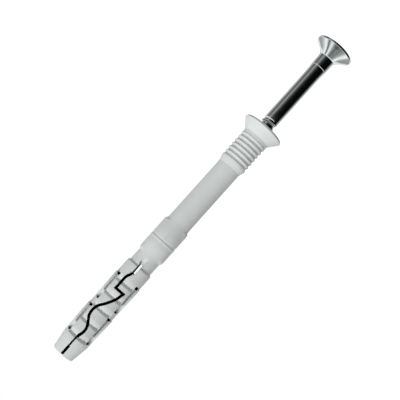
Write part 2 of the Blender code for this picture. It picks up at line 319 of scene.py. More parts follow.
def smooth_route(points: Sequence[Point], steps: int = 10) -> list[Point]:
    """Draw a smooth curve through points, with its slope at each set by the neighbours.

    Args:
        points: What the curve passes through.
        steps: Stretches between two points.

    Returns:
        Points along the curve.
    """
    route: list[Point] = []
    last = len(points) - 1
    for i in range(last):
        ends = (points[max(i - 1, 0)], points[i], points[i + 1], points[min(i + 2, last)])
        for k in range(steps):
            t = k / steps
            weights = (
                (-t + 2 * t**2 - t**3) / 2,
                (2 - 5 * t**2 + 3 * t**3) / 2,
                (t + 4 * t**2 - 3 * t**3) / 2,
                (t**3 - t**2) / 2,
            )
            route.append(tuple(sum(w * p[n] for w, p in zip(weights, ends)) for n in (0, 1)))
    route.append(points[-1])
    return route


def smoothstep(values: np.ndarray, start: float, end: float) -> np.ndarray:
    """Rise from 0 at start to 1 at end, level at both."""
    t = np.clip((values - start) / (end - start), 0.0, 1.0)
    return t * t * (3 - 2 * t)


def round_rings(points: Sequence[Point], count: int) -> np.ndarray:
    """The radii of plain round rings at an outline's points, a row of count for each."""
    return np.repeat(np.array([[radius] for _, radius in points]), count, axis=1)


def ringed_mesh(
    name: str, along: np.ndarray, radius: np.ndarray, angles: np.ndarray, start_cap: bool = True
) -> bpy.types.Mesh:
    """Build a skin of rings about the axis, with its last ring closed.

    Args:
        name: The mesh's name.
        along: Where each ring lies.
        radius: The radius of each ring at each angle.
        angles: The angles of a ring's points.
        start_cap: Close the first ring too.

    Returns:
        The mesh, with its rings' faces first, ring by ring.
    """
    rings, count = radius.shape
    points = np.stack(
        (radius * np.cos(angles), radius * np.sin(angles), np.repeat(along[:, None], count, axis=1)), axis=-1
    ).reshape(-1, 3)
    ring, here = np.meshgrid(np.arange(rings - 1), np.arange(count), indexing="ij")
    there = (here + 1) % count
    low, high = ring * count, (ring + 1) * count
    faces = np.stack((low + here, low + there, high + there, high + here), axis=-1).reshape(-1, 4).tolist()
    vertices = points.tolist()
    ends = [((rings - 1) * count, True)]
    if start_cap:
        ends.insert(0, (0, False))
    for first, forward in ends:
        centre = len(vertices)
        vertices.append((0.0, 0.0, vertices[first][2]))
        for k in range(count):
            pair = (first + k, first + (k + 1) % count)
            faces.append((*(pair if forward else pair[::-1]), centre))
    mesh = bpy.data.meshes.new(name)
    mesh.from_pydata(vertices, [], faces)
    return mesh


def grown(tree: Tree, values: dict[str, object], start: bpy.types.Mesh | None = None) -> bpy.types.Mesh:
    """Run a geometry node tree and keep what it makes as a plain mesh.

    Args:
        tree: The tree.
        values: What its named inputs get.
        start: The mesh that goes in, where the tree takes one.

    Returns:
        The new mesh.
    """
    holder = new_object(tree.name, start or bpy.data.meshes.new(tree.name))
    step = holder.modifiers.new(tree.name, "NODES")
    step.node_group = tree
    for item in tree.interface.items_tree:
        if item.in_out == "INPUT" and item.name in values:
            step[item.identifier] = values[item.name]
    mesh = bpy.data.meshes.new_from_object(holder.evaluated_get(bpy.context.evaluated_depsgraph_get()))
    bpy.data.objects.remove(holder)
    return mesh


def new_tree(name: str, inputs: dict[str, str]) -> tuple[Tree, bpy.types.NodeOutputs]:
    """Start a geometry node tree.

    Args:
        name: The tree's name.
        inputs: The kind of each named input.

    Returns:
        The tree, and what it is given.
    """
    tree = bpy.data.node_groups.new(name, "GeometryNodeTree")
    for label, kind in inputs.items():
        tree.interface.new_socket(name=label, in_out="INPUT", socket_type=f"NodeSocket{kind}")
    tree.interface.new_socket(name="Geometry", in_out="OUTPUT", socket_type="NodeSocketGeometry")
    return tree, add_node(tree, "NodeGroupInput")


def end_tree(tree: Tree, shape: Socket, finish: Socket) -> None:
    """End a tree in real geometry that carries its finish."""
    real = add_node(tree, "GeometryNodeRealizeInstances", {"Geometry": shape})[0]
    dressed = add_node(tree, "GeometryNodeSetMaterial", {"Geometry": real, "Material": finish})[0]
    add_node(tree, "NodeGroupOutput", {0: dressed})


def new_object(name: str, data: bpy.types.ID) -> bpy.types.Object:
    """Put a mesh, a lamp or a camera in the scene."""
    made = bpy.data.objects.new(name, data)
    bpy.context.scene.collection.objects.link(made)
    return made


def combine(target: bpy.types.Object, other: bpy.types.Object, operation: str = "DIFFERENCE") -> None:
    """Cut an object by another, or unite them, for good. The cut faces take the other's finish.

    Args:
        target: What is changed.
        other: What it is changed by, which is used up.
        operation: DIFFERENCE or UNION.
    """
    step = target.modifiers.new(other.name, "BOOLEAN")
    step.operation = operation
    step.solver = "EXACT"
    step.material_mode = "TRANSFER"
    step.object = other
    mesh = bpy.data.meshes.new_from_object(target.evaluated_get(bpy.context.evaluated_depsgraph_get()))
    target.modifiers.clear()
    target.data = mesh
    bpy.data.objects.remove(other)


def closed_mesh(name: str, rings: Sequence[Sequence[Corner]], finish: bpy.types.Material) -> bpy.types.Mesh:
    """Join rings of points into a closed mesh.

    Args:
        name: The mesh's name.
        rings: The rings, each with as many points as the others. The first and the last are closed.
        finish: Its finish.

    Returns:
        The mesh.
    """
    bm = bmesh.new()
    rows = [[bm.verts.new(point) for point in ring] for ring in rings]
    bm.faces.new(rows[0])
    bm.faces.new(rows[-1])
    for before, after in zip(rows, rows[1:]):
        for i in range(len(before)):
            j = (i + 1) % len(before)
            bm.faces.new((before[i], before[j], after[j], after[i]))
    bmesh.ops.recalc_face_normals(bm, faces=bm.faces)
    mesh = bpy.data.meshes.new(name)
    bm.to_mesh(mesh)
    bm.free()
    mesh.materials.append(finish)
    return mesh


def prism_rings(outline: Sequence[Point], floor: Callable[[float], float], top: float) -> list[list[Corner]]:
    """Raise an outline of (along, across) points outwards, from a floor that may slope, to a level top.

    Args:
        outline: The outline's points, anticlockwise with along to the right.
        floor: Height of the floor at a place along the axis.
        top: Height of the top.

    Returns:
        The rings of a closed mesh.
    """
    low = [(floor(along), across, along) for along, across in outline]
    return [low, [(top, across, along) for along, across in outline]]


def channel_rings(stations: Sequence[Point], across: Pair, top: float) -> list[list[Corner]]:
    """Raise a straight channel, whose floor climbs and falls from station to station.

    Args:
        stations: (along, floor) of each station.
        across: Where its two walls stand.
        top: Height of the top.

    Returns:
        The rings of a closed mesh.
    """
    near, far = across
    return [
        [(floor, near, along), (floor, far, along), (top, far, along), (top, near, along)]
        for along, floor in stations
    ]


@dataclass(frozen=True)
class MouldedNylon:
    """Grey polyamide from a polished mould: satin, with a fine spark-eroded grain and faint flow clouding.

    Attributes:
        colour: The plain surface.
        cloud: What it drifts to where the melt flowed slower.
        roughness: Satin, as moulded: where the melt flowed well, and where it flowed slower.
        cloud_size: Width of a flow cloud.
        grain_size: Width of the mould's grain, drawn coarser than the real 0.05 mm so that it shows.
        grain_height: Height of the grain.
        grain_strength: How much of that height shows.
    """

    colour: str = "D5D9D7"
    cloud: str = "C9CDCB"
    roughness: Pair = (0.37, 0.49)
    cloud_size: float = 3.5 * MM
    grain_size: float = 0.22 * MM
    grain_height: float = 0.006 * MM
    grain_strength: float = 0.25

    def material(self) -> bpy.types.Material:
        """Build the finish. Clouds and grain keep a plain pale face from looking like a flat colour."""
        made, tree, place = new_finish("moulded_grey_nylon")
        clouds = noise(tree, place, self.cloud_size, 3.0, 0.55)
        grain = noise(tree, place, self.grain_size, 2.0)
        relief = {"Height": grain, "Strength": self.grain_strength, "Distance": self.grain_height}
        look = {
            "Base Color": mixed(tree, clouds, linear(self.colour), linear(self.cloud)),
            "Roughness": mapped(tree, clouds, (0.0, 1.0), self.roughness),
            "Normal": add_node(tree, "ShaderNodeBump", relief)[0],
            "IOR": NYLON_IOR,
        }
        feed(tree, tree.nodes["Principled BSDF"], look)
        return made


@dataclass(frozen=True)
class PaintedShadeNylon:
    """The same polyamide inside the bore and the slit, coloured dark as painted shade, since next to no light
    comes out again there.

    Attributes:
        lip: The painted shade of the wall at the plug's skin, a dark grey.
        deep: The painted shade of the wall well inside, black.
        lip_radius: Where the wall has the lighter painted shade, lip.
        deep_radius: Where it is black.
        roughness: Duller than the skin.
        specular: The little that the wall mirrors, turned down along with the painted shade.
    """

    lip: str = "5C605E"
    deep: str = "050505"
    lip_radius: float = 3.9 * MM
    deep_radius: float = 3.45 * MM
    roughness: float = 0.6
    specular: float = 0.1

    def material(self) -> bpy.types.Material:
        """Build the material. Its painted shade darkens toward the axis, so that the slit reads as a deep
        cut.
        """
        made, tree, place = new_finish("painted_shade_grey_nylon")
        # Painted shade: the colour goes from lip at the skin to black toward the axis.
        flat = add_node(tree, "ShaderNodeMapping", {"Vector": place, "Scale": (1.0, 1.0, 0.0)})[0]
        depth = mapped(tree, length_of(tree, flat), (self.deep_radius, self.lip_radius))
        look = {
            "Base Color": mixed(tree, depth, linear(self.deep), linear(self.lip)),
            "Roughness": self.roughness,
            "IOR": NYLON_IOR,
            "Specular IOR Level": self.specular,
        }
        feed(tree, tree.nodes["Principled BSDF"], look)
        return made


@dataclass(frozen=True)
class BrightZinc:
    """Cold-forged steel wire, bright zinc plated and clear passivated: a soft mirror with faint draw lines.

    Attributes:
        colour: The plating.
        dull: Its duller patches.
        roughness: A bright plate's soft mirror, and its duller patches.
        line_width: Width of the lines that the wire's drawing leaves along it.
        line_length: Length of a line.
        line_height: Height of a line.
        line_strength: How much of that height shows.
        patch_size: Width of a duller patch.
        patch_ends: The noise's levels between which a patch fades in.
    """

    colour: str = "DFE6E5"
    dull: str = "C7CFCE"
    roughness: Pair = (0.07, 0.14)
    line_width: float = 0.12 * MM
    line_length: float = 9.0 * MM
    line_height: float = 0.004 * MM
    line_strength: float = 0.12
    patch_size: float = 1.8 * MM
    patch_ends: Pair = (0.3, 0.7)

    def material(self) -> bpy.types.Material:
        """Build the finish. Draw lines and duller patches break up the mirror as a real plate does."""
        made, tree, place = new_finish("bright_zinc_plate")
        stretch = (1 / self.line_width, 1 / self.line_width, 1 / self.line_length)
        drawn = add_node(tree, "ShaderNodeMapping", {"Vector": place, "Scale": stretch})[0]
        lines = noise(tree, drawn, 1.0, 2.0)
        patches = noise(tree, place, self.patch_size, 3.0)
        relief = {"Height": lines, "Strength": self.line_strength, "Distance": self.line_height}
        look = {
            "Base Color": mixed(tree, patches, linear(self.colour), linear(self.dull)),
            "Roughness": mapped(tree, patches, self.patch_ends, self.roughness),
            "Normal": add_node(tree, "ShaderNodeBump", relief)[0],
            "Metallic": 1.0,
        }
        feed(tree, tree.nodes["Principled BSDF"], look)
        return made


def sweep_tree() -> Tree:
    """A tree that draws a rectangle along a route, as a slotting cutter would pass.

    Returns:
        The tree. Its inputs are Geometry, Width, Depth and Finish.
    """
    kinds = {"Geometry": "Geometry", "Width": "Float", "Depth": "Float", "Finish": "Material"}
    tree, given = new_tree("slot_sweep", kinds)
    route = add_node(tree, "GeometryNodeMeshToCurve", {0: given["Geometry"]})[0]
    heading = {"Curve": route, "Normal": (1.0, 0.0, 0.0)}
    upright = add_node(tree, "GeometryNodeSetCurveNormal", heading, mode="FREE")[0]
    size = {"Width": given["Depth"], "Height": given["Width"]}
    section = add_node(tree, "GeometryNodeCurvePrimitiveQuadrilateral", size)[0]
    path = {"Curve": upright, "Profile Curve": section, "Fill Caps": True}
    end_tree(tree, add_node(tree, "GeometryNodeCurveToMesh", path)[0], given["Finish"])
    return tree


def notch_tree() -> Tree:
    """A tree that sets one small box on each point that goes in.

    Returns:
        The tree. Its inputs are Geometry, Size and Finish.
    """
    tree, given = new_tree("fin_notches", {"Geometry": "Geometry", "Size": "Vector", "Finish": "Material"})
    points = add_node(tree, "GeometryNodeMeshToPoints", {"Mesh": given["Geometry"]})[0]
    box = add_node(tree, "GeometryNodeMeshCube", {"Size": given["Size"]})[0]
    copies = add_node(tree, "GeometryNodeInstanceOnPoints", {"Points": points, "Instance": box})[0]
    end_tree(tree, copies, given["Finish"])
    return tree


def rib_tree() -> Tree:
    """A tree that raises even ribs on the part of a skin that has the ribs' valley radius.

    Returns:
        The tree. Its inputs are Geometry, Start, Pitch, Count, Valley, Depth, Crest and Flank.
    """
    numbers = ("Start", "Pitch", "Count", "Valley", "Depth", "Crest", "Flank")
    tree, given = new_tree("ribs", {"Geometry": "Geometry", **dict.fromkeys(numbers, "Float")})
    start, pitch, count, valley, depth, crest, flank = (given[name] for name in numbers)
    parts = add_node(tree, "ShaderNodeSeparateXYZ", {0: add_node(tree, "GeometryNodeInputPosition")[0]})
    turns = calc(tree, "DIVIDE", calc(tree, "SUBTRACT", parts["Z"], start), pitch)
    choice = {"Value": calc(tree, "ROUND", turns), "Min": 0.0, "Max": calc(tree, "SUBTRACT", count, 1.0)}
    nearest = add_node(tree, "ShaderNodeClamp", choice)[0]
    off = calc(tree, "ABSOLUTE", calc(tree, "SUBTRACT", turns, nearest))
    away = calc(tree, "MULTIPLY", off, pitch)
    half = calc(tree, "MULTIPLY", crest, 0.5)
    foot = calc(tree, "ADD", half, flank)
    rise = mapped(tree, away, (half, foot), (depth, 0.0), interpolation_type="SMOOTHSTEP")
    flat = add_node(tree, "ShaderNodeCombineXYZ", {"X": parts["X"], "Y": parts["Y"]})[0]
    outward = add_node(tree, "ShaderNodeVectorMath", {0: flat}, operation="NORMALIZE")[0]
    on_valley = calc(tree, "COMPARE", length_of(tree, flat), valley, WELD)
    lift = add_node(tree, "ShaderNodeVectorMath", {0: outward, "Scale": rise}, operation="SCALE")[0]
    move = {"Geometry": given["Geometry"], "Selection": on_valley, "Offset": lift}
    add_node(tree, "NodeGroupOutput", {0: add_node(tree, "GeometryNodeSetPosition", move)[0]})
    return tree


def thread_tree() -> Tree:
    """A tree that winds a grid into a right-handed thread with a conical point and a run-out.

    Returns:
        The tree. Its inputs are Around, Rows, Start, Length, Pitch, Root, Crest, Shank, Tip, Point, Run Out,
        Crest Share, Root Share and Finish. The shares say how far off, in pitches, the crest ends and the
        root starts.
    """
    numbers = ("Start", "Length", "Pitch", "Root", "Crest", "Shank", "Tip", "Point", "Run Out")
    shares = ("Crest Share", "Root Share")
    kinds = {"Around": "Int", "Rows": "Int", **dict.fromkeys(numbers + shares, "Float"), "Finish": "Material"}
    tree, given = new_tree("nail_thread", kinds)
    sheet = {"Size X": 1.0, "Size Y": 1.0, "Vertices X": given["Around"], "Vertices Y": given["Rows"]}
    grid = add_node(tree, "GeometryNodeMeshGrid", sheet)[0]
    parts = add_node(tree, "ShaderNodeSeparateXYZ", {0: add_node(tree, "GeometryNodeInputPosition")[0]})
    turn = calc(tree, "ADD", parts["X"], 0.5)
    angle = calc(tree, "MULTIPLY", turn, math.tau)
    along = calc(tree, "MULTIPLY", calc(tree, "ADD", parts["Y"], 0.5), given["Length"])
    wound = calc(tree, "SUBTRACT", calc(tree, "DIVIDE", along, given["Pitch"]), turn)
    off = calc(tree, "ABSOLUTE", calc(tree, "SUBTRACT", calc(tree, "FRACT", wound), 0.5))
    flank = [given[name] for name in shares]
    heights = (given["Crest"], given["Root"])
    ridge = mapped(tree, off, flank, heights, interpolation_type="SMOOTHSTEP")
    left = calc(tree, "SUBTRACT", given["Length"], along)
    running_out = mapped(tree, left, (0.0, given["Run Out"]), (given["Shank"], ridge))
    cone = mapped(tree, along, (0.0, given["Point"]), (given["Tip"], given["Crest"]))
    radius = calc(tree, "MINIMUM", running_out, cone)
    x, y = (calc(tree, "MULTIPLY", calc(tree, wave, angle), radius) for wave in ("COSINE", "SINE"))
    spot = {"X": x, "Y": y, "Z": calc(tree, "ADD", along, given["Start"])}
    move = {"Geometry": grid, "Position": add_node(tree, "ShaderNodeCombineXYZ", spot)[0]}
    wrapped = add_node(tree, "GeometryNodeSetPosition", move)[0]
    joined = add_node(tree, "GeometryNodeMergeByDistance", {"Geometry": wrapped, "Distance": WELD})[0]
    end_tree(tree, joined, given["Finish"])
    return tree


@dataclass
class PlugSleeve:
    """The nylon sleeve, one moulding: slit and barbed end, guide, plain shaft, ribs and countersunk collar.

    Places along it are counted from the tip, and places across it from the middle of the front.

    Attributes:
        nylon: The finish of its skin.
        shade: The material with painted shade for its bore, slit and notches.
        barb_ramps: (behind the foot, height over the valley) of a barb's climb back to its land.
        edge_steps: Degrees from a block's edge of the ring points close to it. The gaps on both sides of
            them are edge_gaps, and arc_points says how many points the rest of a quarter has.
        fin_face: (behind the fin's start, height from the parting plane) of the pocket's floor.
        groove_face: The same for the floor of the groove at the fin's root.
        notch_size: Depth, width and length of a notch at a fin's start.
        guide_start_run: How far before and after the guide's start its step fades out in front.
        witness_line: (behind witness_at, height over the guide, fillet) of the line's corners.
        wave_shares: The slit's wave, as shares of its length and of its swing.
        nose_slit: Width and offset of the slit through the nose.
        mouth: Length, width and offset of the slit's mouth at the tip.
    """

    nylon: bpy.types.Material
    shade: bpy.types.Material
    length: float = 80.0 * MM
    tip_radius: float = 3.08 * MM
    tip_rounding: float = 0.3 * MM
    nose_cone: float = 5.2 * MM
    body_radius: float = 3.88 * MM
    clear: float = 1.0 * MM
    shoulder: float = 6.3 * MM
    blocks_end: float = 30.1 * MM
    blocks_fall: float = 0.5 * MM
    neck_radius: float = 3.41 * MM
    barb_count: int = 5
    barb_first: float = 5.99 * MM
    barb_pitch: float = 4.52 * MM
    barb_depth: float = 0.6 * MM
    barb_fall: float = 0.58 * MM
    barb_ramps: Sequence[Point] = ((0.6 * MM, 0.42 * MM), (1.4 * MM, 0.6 * MM))
    barb_end: float = 0.4 * MM
    land_inset: float = 0.04 * MM
    block_half_width: float = 2.8 * MM
    block_edge: float = 0.1 * MM
    edge_steps: Sequence[float] = (-1.1, -0.5, 0.0, 0.6, 1.4, 2.6)
    edge_gaps: Pair = (2.0, 5.0)
    arc_points: tuple[int, int] = (16, 13)
    row_pitch: float = 0.5 * MM
    fin_starts: Pair = (6.3 * MM, 17.13 * MM)
    fin_length: float = 8.25 * MM
    fin_stand: float = 0.17 * MM
    fin_back: float = 0.2 * MM
    fin_side_from: float = math.radians(58)
    fin_side_blend: Pair = (0.80, 0.86)
    fin_side_fade: float = 0.1 * MM
    fin_face: Sequence[Point] = (
        (0.0, 0.85 * MM),
        (2.9 * MM, 1.75 * MM),
        (5.4 * MM, 1.7 * MM),
        (8.25 * MM, 1.0 * MM),
    )
    groove_width: float = 0.56 * MM
    groove_face: Sequence[Point] = ((2.2 * MM, 1.8 * MM), (3.4 * MM, 0.9 * MM), (8.23 * MM, 0.8 * MM))
    notch_size: Triple = (3.6 * MM, 0.5 * MM, 0.48 * MM)
    end_notch_size: Triple = (3.6 * MM, 0.8 * MM, 0.9 * MM)
    notch_across: float = 3.09 * MM
    notch_floor: float = 0.25 * MM
    guide_start: float = 33.9 * MM
    guide_end: float = 45.0 * MM
    guide_radius: float = 3.88 * MM
    guide_chamfer: float = 0.7 * MM
    guide_rounding: float = 1.0 * MM
    guide_start_run: Pair = (1.0 * MM, 4.0 * MM)
    guide_end_run: Pair = (4.5 * MM, 1.2 * MM)
    front_blend: Pair = (0.35, 0.8)
    witness_at: float = 39.0 * MM
    witness_line: Sequence[Corner] = (
        (-0.4 * MM, 0.0, 0.03 * MM),
        (-0.14 * MM, 0.06 * MM, 0.04 * MM),
        (0.1 * MM, 0.06 * MM, 0.03 * MM),
        (0.36 * MM, -0.06 * MM, 0.03 * MM),
        (1.0 * MM, 0.0, 0.03 * MM),
    )
    shaft_radius: float = 3.43 * MM
    rib_start: float = 67.65 * MM
    rib_count: int = 7
    rib_pitch: float = 1.3 * MM
    rib_depth: float = 0.28 * MM
    rib_radius: float = 3.97 * MM
    rib_crest: float = 0.24 * MM
    rib_flank: float = 0.34 * MM
    rib_lead: float = 1.75 * MM
    rib_lead_ramp: float = 1.5 * MM
    rib_fade: float = 0.09 * MM
    rib_rows: int = 13
    collar_start: float = 76.9 * MM
    collar_lead: Pair = (0.35 * MM, 0.15 * MM)
    collar_radius: float = 6.15 * MM
    collar_rim: float = 0.58 * MM
    collar_edge: float = 0.06 * MM
    cup_radius: float = 5.80 * MM
    upper_bore: float = 2.54 * MM
    upper_bore_start: float = 70.95 * MM
    bore_radius: float = 2.35 * MM
    bore_start: float = 2.15 * MM
    bore_taper: float = 6.75 * MM
    slit_width: float = 0.79 * MM
    slit_floor: float = -0.1 * MM
    slit_clear: float = 1.5 * MM
    slit_end: float = 31.0 * MM
    slit_end_offset: float = -0.2 * MM
    slit_end_width: float = 0.93 * MM
    slit_end_length: float = 3.35 * MM
    slit_end_taper: float = 1.65 * MM
    slit_end_corner: float = 0.16 * MM
    slit_end_floor: float = -0.15 * MM
    slit_step: float = 22.15 * MM
    step_width: float = 0.78 * MM
    step_over: float = 0.14 * MM
    wave_low: float = -1.84 * MM
    wave_high: float = 1.38 * MM
    wave_shares: Sequence[Point] = (
        (0.0, 0.52), (0.03, 0.565), (0.13, 0.66), (0.22, 0.60), (0.31, 0.33), (0.39, 0.08),
        (0.49, 0.0), (0.59, 0.11), (0.70, 0.46), (0.83, 0.80), (0.92, 0.95), (1.0, 1.0),
    )
    tail_offset: float = -1.12 * MM
    tail_shares: Pair = (0.40, 0.65)
    tail_end_offset: float = -0.5 * MM
    tail_steps: int = 12
    nose_slit: Pair = (0.50 * MM, -0.20 * MM)
    nose_overlap: Pair = (0.2 * MM, 1.0 * MM)
    mouth: Triple = (3.2 * MM, 0.76 * MM, -0.12 * MM)
    nose_web: float = 3.0 * MM
    back_web: float = 0.1 * MM
    back_web_step: float = 0.01 * MM
    relief_width: float = 1.05 * MM
    relief_length: float = 2.3 * MM
    relief_depth: float = 0.95 * MM
    relief_edge: float = 0.2 * MM
    relief_edge_share: float = 0.7
    relief_overlap: float = 0.05 * MM
    seam_size: Pair = (0.08 * MM, 0.1 * MM)
    seam_offset: float = 0.03 * MM

    def angles(self) -> np.ndarray:
        """The angles of a ring's points, closer together at the blocks' edges."""
        corner = math.degrees(math.asin(self.block_half_width / self.body_radius))
        before, after = self.edge_gaps
        front_points, side_points = self.arc_points
        quarter = [
            *np.linspace(0, corner - before, front_points),
            *(corner + step for step in self.edge_steps),
            *np.linspace(corner + after, 90, side_points),
        ]
        half = quarter + [180 - a for a in reversed(quarter[:-1])]
        return np.radians(np.array(half[:-1] + [180 + a for a in half[:-1]]))

    def fin_corners(self) -> list[Corner]:
        """The body's outline past the fins, which stand out a little more toward the head."""
        corners: list[Corner] = []
        for start in self.fin_starts:
            end = start + self.fin_length
            corners.append((start, self.body_radius, 0.0))
            corners.append((end, self.body_radius + self.fin_stand, 0.05 * MM))
            corners.append((end + self.fin_back, self.body_radius, 0.05 * MM))
        return corners

    def outside(self) -> list[Point]:
        """The whole outside, from the tip to the collar's mouth, without barbs, pockets and ribs.

        The ribs' tree raises all ribs but the first, on the stretch that has the valley's radius.
        """
        fall = self.blocks_fall / 2
        valley = self.rib_radius - self.rib_depth
        first_crest = self.rib_start + self.rib_crest / 2
        last_crest = first_crest + (self.rib_count - 1) * self.rib_pitch
        lead = self.rib_start - self.rib_crest / 2 - self.rib_lead
        far, near = self.collar_lead
        return filleted(
            [
                (0.0, 0.5 * MM, 0.0),
                (0.0, self.tip_radius, self.tip_rounding),
                (self.nose_cone, self.body_radius, 0.5 * MM),
                *self.fin_corners(),
                (self.blocks_end - fall, self.body_radius, 0.15 * MM),
                (self.blocks_end + fall, self.neck_radius, 0.15 * MM),
                (self.guide_start, self.neck_radius, 0.12 * MM),
                (self.guide_start + self.guide_chamfer, self.guide_radius, 0.3 * MM),
                *((self.witness_at + a, self.guide_radius + r, fillet) for a, r, fillet in self.witness_line),
                (self.guide_end - self.guide_rounding * 0.25, self.guide_radius, self.guide_rounding * 0.6),
                (self.guide_end, self.shaft_radius, 0.1 * MM),
                (lead, self.shaft_radius, 0.15 * MM),
                (lead + self.rib_lead_ramp, self.rib_radius - self.rib_fade / 2, 0.12 * MM),
                (first_crest, self.rib_radius, 0.05 * MM),
                (first_crest + self.rib_flank, valley, 0.0),
                (last_crest + 0.35 * self.rib_flank, valley, 0.0),
                (last_crest + 0.4 * self.rib_flank, self.rib_radius - self.rib_fade, 0.0),
                (self.collar_start - far, self.rib_radius - self.rib_fade / 2, 0.08 * MM),
                (self.collar_start - near, self.rib_radius, 0.1 * MM),
                (self.length - self.collar_rim, self.collar_radius, 0.1 * MM),
                (self.length - self.collar_edge, self.cup_radius + self.collar_edge, self.collar_edge),
                (self.length, self.cup_radius, 0.0),
            ]
        )

    def inside(self) -> list[Point]:
        """The cup and the bore, from the collar's mouth down to the blind end."""
        cup_foot = self.length - (self.cup_radius - self.upper_bore)
        return filleted(
            [
                (self.length, self.cup_radius, 0.0),
                (cup_foot, self.upper_bore, 0.15 * MM),
                (self.upper_bore_start, self.upper_bore, 0.0),
                (self.upper_bore_start - 0.15 * MM, self.bore_radius, 0.0),
                (self.bore_taper, self.bore_radius, 0.0),
                (self.bore_start, 0.45 * MM, 0.0),
            ]
        )[1:]

    def barb_outline(self) -> list[Point]:
        """The barbs' lands, falls and ramps on the blocks. Past them it stays clear of the body."""
        land = self.body_radius - self.land_inset
        valley = land - self.barb_depth
        clear = self.collar_radius + self.clear
        first = self.barb_first - self.barb_fall / 2
        jump = 0.01 * MM
        corners: list[Corner] = [(0.0, clear, 0.0), (first - jump, clear, 0.0)]
        for i in range(self.barb_count):
            step = self.barb_first + i * self.barb_pitch
            foot = step + self.barb_fall / 2
            corners.append((step - self.barb_fall / 2, land, 0.12 * MM if i else 0.0))
            corners.append((foot, valley, 0.05 * MM))
            corners += [(foot + behind, valley + rise, 0.25 * MM) for behind, rise in self.barb_ramps]
        end = corners[-1][0] + self.barb_end
        corners += [(end, land + jump, 0.0), (end + jump, clear, 0.0), (self.length, clear, 0.0)]
        return filleted(corners)

    def rows(self, outside: Sequence[Point]) -> np.ndarray:
        """Where the rings of the outside lie, closer together where the form turns."""
        at = [along for along, _ in outside if along > 0.0]
        at += [along for along, _ in self.barb_outline() if self.barb_first / 2 < along < self.blocks_end]
        at += [start + side * WELD for start in self.fin_starts for side in (-1, 1)]
        at += list(np.arange(self.nose_cone, self.guide_end + self.guide_end_run[1], self.row_pitch))
        rib_end = self.rib_start + (self.rib_count - 0.5) * self.rib_pitch
        at += list(np.arange(self.rib_start - self.rib_pitch / 2, rib_end, self.rib_pitch / self.rib_rows))
        sorted_rows = np.unique(np.round(np.array(at) / WELD) * WELD)
        apart = np.diff(sorted_rows, prepend=-1.0) > 1.5 * WELD
        return sorted_rows[apart]

    def section(self, along: np.ndarray, turned: np.ndarray, angles: np.ndarray) -> np.ndarray:
        """The radius of each ring at each angle, with barbs on the blocks and flat sides on the fins.

        Args:
            along: Where the rings lie.
            turned: Their plain turned radius.
            angles: The angles of a ring's points.

        Returns:
            Radii, a row for each ring.
        """
        barb_along, barb_radius = zip(*self.barb_outline())
        base = turned[:, None]
        barbed = np.minimum(base, np.interp(along, barb_along, barb_radius)[:, None])
        across = np.abs(np.sin(angles))[None, :]
        forward = np.abs(np.cos(angles))[None, :]
        block_end = self.block_half_width + self.block_edge
        on_block = 1 - smoothstep(across * self.body_radius, self.block_half_width, block_end)
        body = base + (barbed - base) * on_block
        flat_side = base / np.maximum(across, math.sin(self.fin_side_from)) - base
        at_fin = np.zeros(len(along))
        for start in self.fin_starts:
            end = start + self.fin_length
            marks = (start - WELD, start + WELD, end, end + self.fin_side_fade)
            at_fin += np.interp(along, marks, (0, 1, 1, 0))
        body = body + flat_side * smoothstep(across, *self.fin_side_blend) * at_fin[:, None]
        facing = smoothstep(forward, *self.front_blend)
        return body + (self.front_radius(along, turned) - turned)[:, None] * facing

    def front_radius(self, along: np.ndarray, turned: np.ndarray) -> np.ndarray:
        """The radius on the front and the back, where the guide's two steps at the sides fade out.

        Args:
            along: Where the rings lie.
            turned: Their plain turned radius.

        Returns:
            The radius of each ring there.
        """
        before, after = self.guide_start_run
        first, risen = self.guide_start - before, self.guide_start + after
        rise = self.neck_radius + (self.guide_radius - self.neck_radius) * smoothstep(along, first, risen)
        before, after = self.guide_end_run
        falling, last = self.guide_end - before, self.guide_end + after
        fall = self.guide_radius + (self.shaft_radius - self.guide_radius) * smoothstep(along, falling, last)
        radius = np.where((along > first) & (along < risen), rise, turned)
        return np.where((along > falling) & (along < last), fall, radius)

    def skin(self) -> bpy.types.Mesh:
        """The closed skin of the sleeve, with ribs raised on it, before the slit is cut."""
        outside = self.outside()
        tip = [point for point in outside if point[0] <= 0.0]
        rim = self.length - WELD
        mouth = [point for point in outside if point[0] >= rim and point[1] < self.collar_radius]
        forward = [point for point in outside if point not in tip and point not in mouth]
        along = self.rows(forward)
        turned = np.interp(along, [p[0] for p in forward], [p[1] for p in forward])
        angles = self.angles()
        count = len(angles)
        end = mouth + self.inside()
        places = np.concatenate(([p[0] for p in tip], along, [p[0] for p in end]))
        body = self.section(along, turned, angles)
        radii = np.concatenate((round_rings(tip, count), body, round_rings(end, count)))
        mesh = ringed_mesh("plug_skin", places, radii, angles)
        mesh.materials.append(self.nylon)
        mesh.materials.append(self.shade)
        # The bore's faces and its blind end take the painted-shade material.
        cup_rows = len(tip) + len(along) + len(mouth) + FILLET_STEPS
        shaded = np.zeros(len(mesh.polygons), dtype=np.int32)
        shaded[cup_rows * count : (len(places) - 1) * count] = 1
        shaded[-count:] = 1
        mesh.polygons.foreach_set("material_index", shaded)
        ribs = {
            "Start": self.rib_start + self.rib_pitch,
            "Pitch": self.rib_pitch,
            "Count": float(self.rib_count - 1),
            "Valley": self.rib_radius - self.rib_depth,
            "Depth": self.rib_depth,
            "Crest": self.rib_crest,
            "Flank": self.rib_flank,
        }
        return grown(rib_tree(), ribs, mesh)

